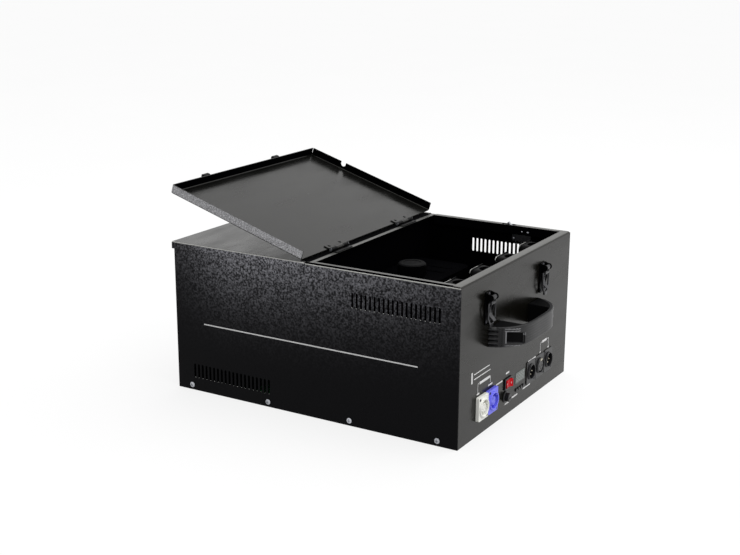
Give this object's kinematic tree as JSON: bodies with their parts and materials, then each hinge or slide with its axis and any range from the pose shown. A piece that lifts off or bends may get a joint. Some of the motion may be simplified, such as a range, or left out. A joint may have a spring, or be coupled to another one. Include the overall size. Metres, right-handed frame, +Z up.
{
  "type": "stage flame machine",
  "caption": "Low sheet-metal stage effects case with a hinged lid over an open bay of burner heads and a fuel tank, draw latches, strap handles and a connector end panel.",
  "frame": {"origin": "centre of the case's underside, on the surface that the machine stands on", "axes": "+X towards the connector end panel, +Y towards the rear panel, +Z up"},
  "size_m": [0.492, 0.328, 0.2774],
  "materials": {
    "black_paint": "satin black powder coat with a fine metallic grain",
    "black_steel": "semi-gloss black coated steel",
    "zinc": "bright zinc plate",
    "brass": "turned, slightly dull",
    "aluminium": "machined, matt",
    "cap_metal": "turned, satin",
    "burner_black": "black anodised, heat dulled",
    "black_plastic": "moulded, fine texture",
    "tank_plastic": "blow-moulded, soft sheen",
    "handle_rubber": "ribbed, soft sheen",
    "white_plastic": "moulded, soft sheen",
    "blue_plastic": "moulded, soft sheen",
    "red_plastic": "glossy, slightly translucent",
    "display_window": "clear window over an unlit display",
    "green_board": "solder mask",
    "grey_resin": "potting resin"
  },
  "bodies": {
    "case": {"base_pan": "black_paint", "front_panel": "black_paint", "rear_panel": "black_paint", "left_side_panel": "black_paint", "right_side_panel": "black_paint", "left_top_cover": "black_paint", "bay_partition": "black_paint", "bay_floor": "black_paint", "bay_rim_front": "black_paint", "bay_rim_rear": "black_paint", "hinge_case_leaf_front": "black_steel", "hinge_pin_front": "zinc", "hinge_case_leaf_rear": "black_steel", "hinge_pin_rear": "zinc", "latch_base_front": "black_steel", "latch_base_rear": "black_steel", "carry_handle_right": "handle_rubber", "carry_handle_left": "handle_rubber", "power_outlet": "white_plastic", "power_inlet": "blue_plastic", "switch_bezel": "black_plastic", "fuse_holder": "black_plastic", "display_module": "display_window", "remote_socket": "black_plastic", "dmx_out_socket": "black_plastic", "dmx_in_socket": "black_plastic", "fuel_tank": "tank_plastic", "tank_top": "tank_plastic", "fuel_pump": "aluminium", "delivery_pipe": "brass", "valve_block": "aluminium", "burner_head_1": "burner_black", "burner_head_2": "burner_black", "burner_head_3": "burner_black", "burner_head_4": "burner_black", "burner_nozzle_1": "brass", "burner_nozzle_2": "brass", "burner_nozzle_3": "brass", "burner_nozzle_4": "brass", "lid_switch_body": "black_plastic", "power_supply": "aluminium", "control_board": "green_board", "ignition_module": "grey_resin"},
    "lid_assembly": {"lid": "black_paint", "hinge_lid_leaf_front": "black_steel", "hinge_lid_leaf_rear": "black_steel", "lid_keeper_front": "black_steel", "lid_keeper_rear": "black_steel"},
    "front_lever": {"latch_lever_front": "black_steel"},
    "rear_lever": {"latch_lever_rear": "black_steel"},
    "front_bail": {"latch_bail_front": "black_steel"},
    "rear_bail": {"latch_bail_rear": "black_steel"},
    "rocker": {"switch_rocker": "red_plastic"},
    "fuse_plug": {"fuse_cap": "black_plastic"},
    "button_1": {"menu_button_1": "black_plastic"},
    "button_2": {"menu_button_2": "black_plastic"},
    "button_3": {"menu_button_3": "black_plastic"},
    "button_4": {"menu_button_4": "black_plastic"},
    "filler_cap": {"tank_cap": "cap_metal"},
    "switch_arm": {"lid_switch_arm": "zinc"}
  },
  "joints": [
    {"name": "lid_hinge", "type": "hinge", "parent": "case", "child": "lid_assembly", "pos_m": [-0.0041, 0, 0.2032], "axis": [0, 1, 0], "range_deg": [0, 163]},
    {"name": "front_lever_hinge", "type": "hinge", "parent": "case", "child": "front_lever", "pos_m": [0.2155, -0.09, 0.172], "axis": [0, -1, 0], "range_deg": [0, 115]},
    {"name": "rear_lever_hinge", "type": "hinge", "parent": "case", "child": "rear_lever", "pos_m": [0.2155, 0.07, 0.172], "axis": [0, -1, 0], "range_deg": [0, 115]},
    {"name": "front_bail_hinge", "type": "hinge", "parent": "front_lever", "child": "front_bail", "pos_m": [0.214, -0.09, 0.165], "axis": [0, 1, 0], "range_deg": [-172, 0]},
    {"name": "rear_bail_hinge", "type": "hinge", "parent": "rear_lever", "child": "rear_bail", "pos_m": [0.214, 0.07, 0.165], "axis": [0, 1, 0], "range_deg": [-172, 0]},
    {"name": "rocker_tilt", "type": "hinge", "parent": "case", "child": "rocker", "pos_m": [0.2065, -0.025, 0.042], "axis": [0, 0, 1], "range_deg": [0, 16]},
    {"name": "fuse_cap_turn", "type": "hinge", "parent": "case", "child": "fuse_plug", "pos_m": [0.2155, -0.031, 0.0255], "axis": [1, 0, 0], "range_deg": [0, 90]},
    {"name": "button_1_press", "type": "slide", "parent": "case", "child": "button_1", "axis": [-1, 0, 0], "range_m": [0, 0.001], "stiffness_N_per_m": 300},
    {"name": "button_2_press", "type": "slide", "parent": "case", "child": "button_2", "axis": [-1, 0, 0], "range_m": [0, 0.001], "stiffness_N_per_m": 300},
    {"name": "button_3_press", "type": "slide", "parent": "case", "child": "button_3", "axis": [-1, 0, 0], "range_m": [0, 0.001], "stiffness_N_per_m": 300},
    {"name": "button_4_press", "type": "slide", "parent": "case", "child": "button_4", "axis": [-1, 0, 0], "range_m": [0, 0.001], "stiffness_N_per_m": 300},
    {"name": "tank_cap_lift", "type": "slide", "parent": "case", "child": "filler_cap", "axis": [0, 0, 1], "range_m": [0, 0.025]},
    {"name": "lid_switch_press", "type": "hinge", "parent": "case", "child": "switch_arm", "pos_m": [0.1285, 0.157, 0.1965], "axis": [0, -1, 0], "range_deg": [0, 12], "stiffness_Nm_per_rad": 0.01}
  ]
}
